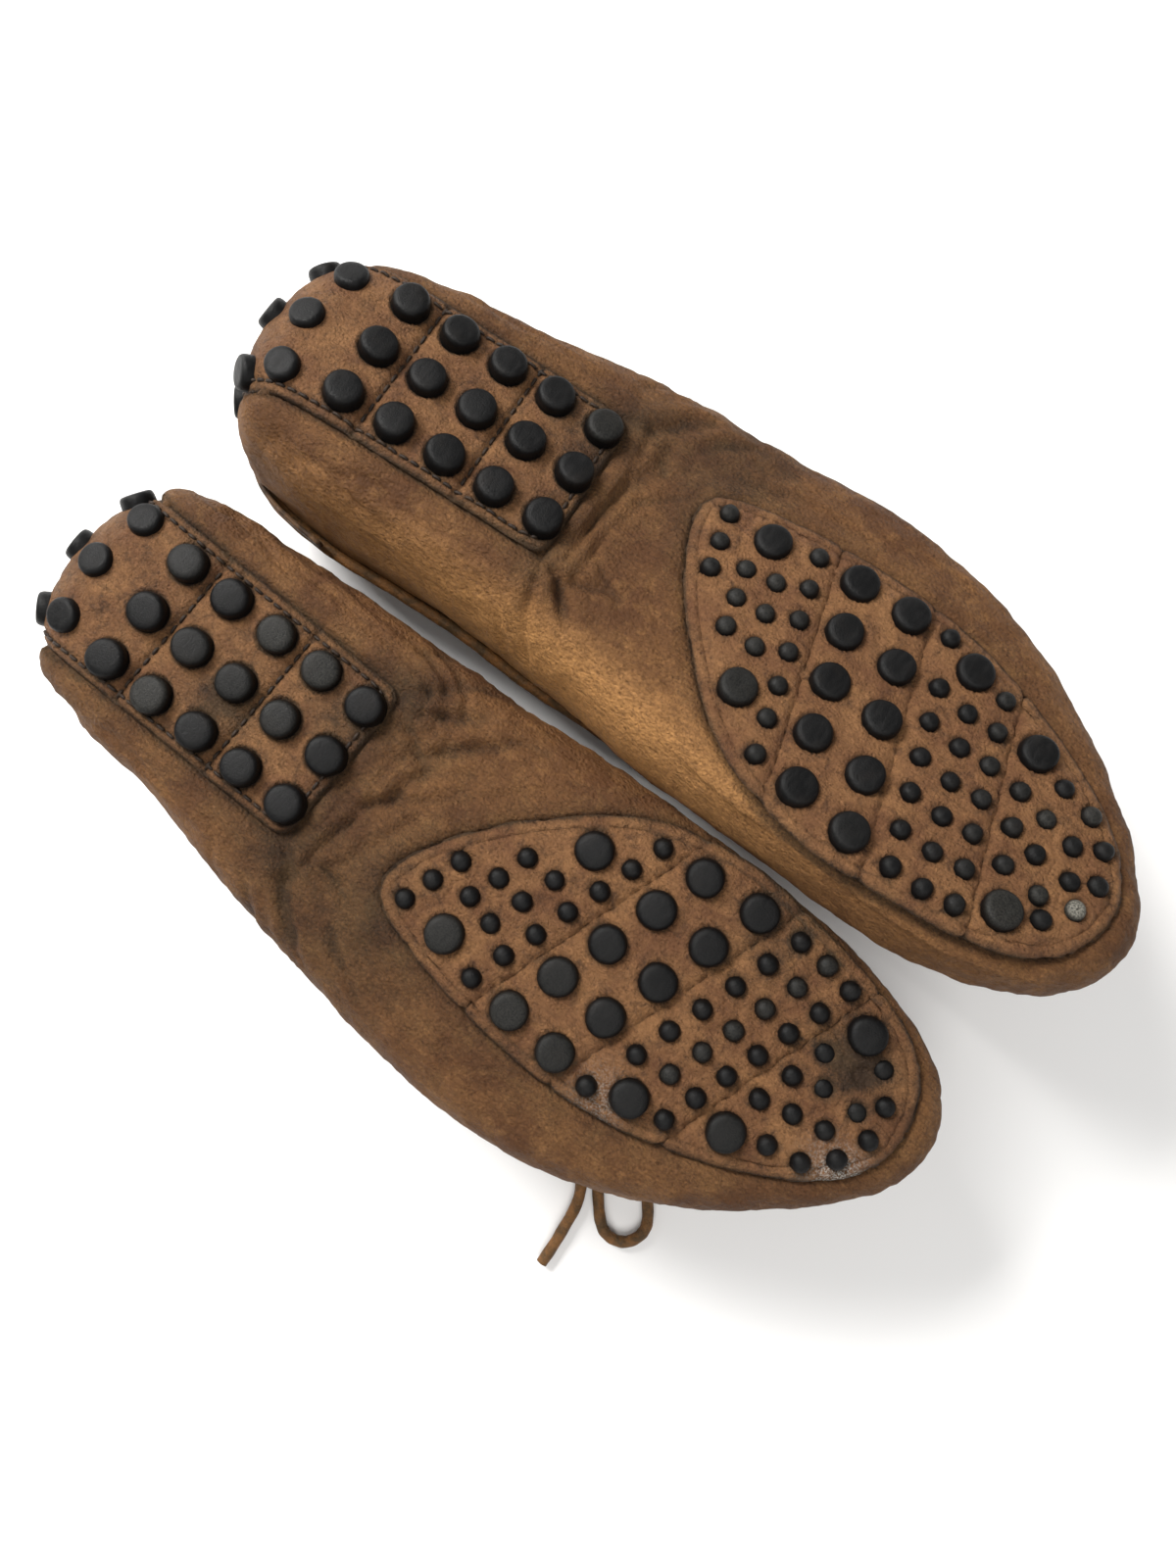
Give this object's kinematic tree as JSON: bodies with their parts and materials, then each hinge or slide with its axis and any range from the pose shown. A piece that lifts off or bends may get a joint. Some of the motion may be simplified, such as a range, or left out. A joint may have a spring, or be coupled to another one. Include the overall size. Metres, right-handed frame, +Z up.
{
  "type": "driving moccasins",
  "caption": "Pair of worn leather driving moccasins lying soles up, with rubber pebbles through stitched sole patches and laced bows.",
  "frame": {"origin": "centre of the pair's box, on the surface that it lies on", "axes": "+X from the heels to the toes, +Y from the left shoe to the right one, +Z up, with the soles facing up"},
  "size_m": [0.2942, 0.2365, 0.0894],
  "materials": {
    "wrap_leather": "worn tan leather, satin, with grime along the edges",
    "sole_leather": "worn reddish brown leather, dull, stained",
    "trim_leather": "dark brown leather, satin",
    "lining_leather": "pale lining leather, dull",
    "lace_thong": "olive brown thong, satin",
    "pebble_rubber": "black rubber, satin, worn on top"
  },
  "bodies": {
    "left_fore": {"left_fore_wrap": "wrap_leather", "left_fore_patch": "sole_leather", "left_fore_tread_1": "pebble_rubber", "left_fore_tread_2": "pebble_rubber", "left_fore_tread_3": "pebble_rubber", "left_fore_tread_4": "pebble_rubber", "left_insole": "lining_leather", "left_apron": "wrap_leather", "left_moc_seam": "wrap_leather", "left_front_collar": "trim_leather", "left_front_lace": "lace_thong", "left_lace_knot": "lace_thong", "left_outer_loop": "lace_thong", "left_inner_loop": "lace_thong", "left_outer_tail": "lace_thong", "left_inner_tail": "lace_thong"},
    "left_rear": {"left_rear_wrap": "wrap_leather", "left_heel_patch": "sole_leather", "left_heel_tread_1": "pebble_rubber", "left_heel_tread_2": "pebble_rubber", "left_heel_tread_3": "pebble_rubber", "left_heel_strip": "sole_leather", "left_heel_studs": "pebble_rubber", "left_heel_band": "trim_leather", "left_heel_counter": "lining_leather", "left_heel_sock": "lining_leather", "left_rear_collar": "trim_leather", "left_rear_lace": "lace_thong"},
    "left_tongue_flap": {"left_tongue": "wrap_leather"},
    "right_fore": {"right_fore_wrap": "wrap_leather", "right_fore_patch": "sole_leather", "right_fore_tread_1": "pebble_rubber", "right_fore_tread_2": "pebble_rubber", "right_fore_tread_3": "pebble_rubber", "right_fore_tread_4": "pebble_rubber", "right_insole": "lining_leather", "right_apron": "wrap_leather", "right_moc_seam": "wrap_leather", "right_front_collar": "trim_leather", "right_front_lace": "lace_thong", "right_lace_knot": "lace_thong"},
    "right_rear": {"right_rear_wrap": "wrap_leather", "right_heel_patch": "sole_leather", "right_heel_tread_1": "pebble_rubber", "right_heel_tread_2": "pebble_rubber", "right_heel_tread_3": "pebble_rubber", "right_heel_strip": "sole_leather", "right_heel_studs": "pebble_rubber", "right_heel_band": "trim_leather", "right_heel_counter": "lining_leather", "right_heel_sock": "lining_leather", "right_rear_collar": "trim_leather", "right_rear_lace": "lace_thong"},
    "right_tongue_flap": {"right_tongue": "wrap_leather"}
  },
  "joints": [
    {"name": "left_flex", "type": "hinge", "parent": "left_fore", "child": "left_rear", "pos_m": [-0.03414, -0.0492, 0.0625], "axis": [0, 1, 0], "range_deg": [0, 30], "stiffness_Nm_per_rad": 0.3},
    {"name": "right_lift", "type": "slide", "parent": "left_fore", "child": "right_fore", "axis": [0, 0, 1], "range_m": [0, 0.15]},
    {"name": "right_flex", "type": "hinge", "parent": "right_fore", "child": "right_rear", "pos_m": [-0.03114, 0.0528, 0.0625], "axis": [-0.005, 0.9661, -0.258], "range_deg": [0, 16], "stiffness_Nm_per_rad": 0.3},
    {"name": "left_tongue_fold", "type": "hinge", "parent": "left_fore", "child": "left_tongue_flap", "pos_m": [0.01036, -0.0482, 0.0095], "axis": [0, 1, 0], "range_deg": [0, 25], "stiffness_Nm_per_rad": 0.02},
    {"name": "right_tongue_fold", "type": "hinge", "parent": "right_fore", "child": "right_tongue_flap", "pos_m": [0.01759, 0.03939, 0.01521], "axis": [-0.005, 0.9661, -0.258], "range_deg": [0, 25], "stiffness_Nm_per_rad": 0.02}
  ]
}
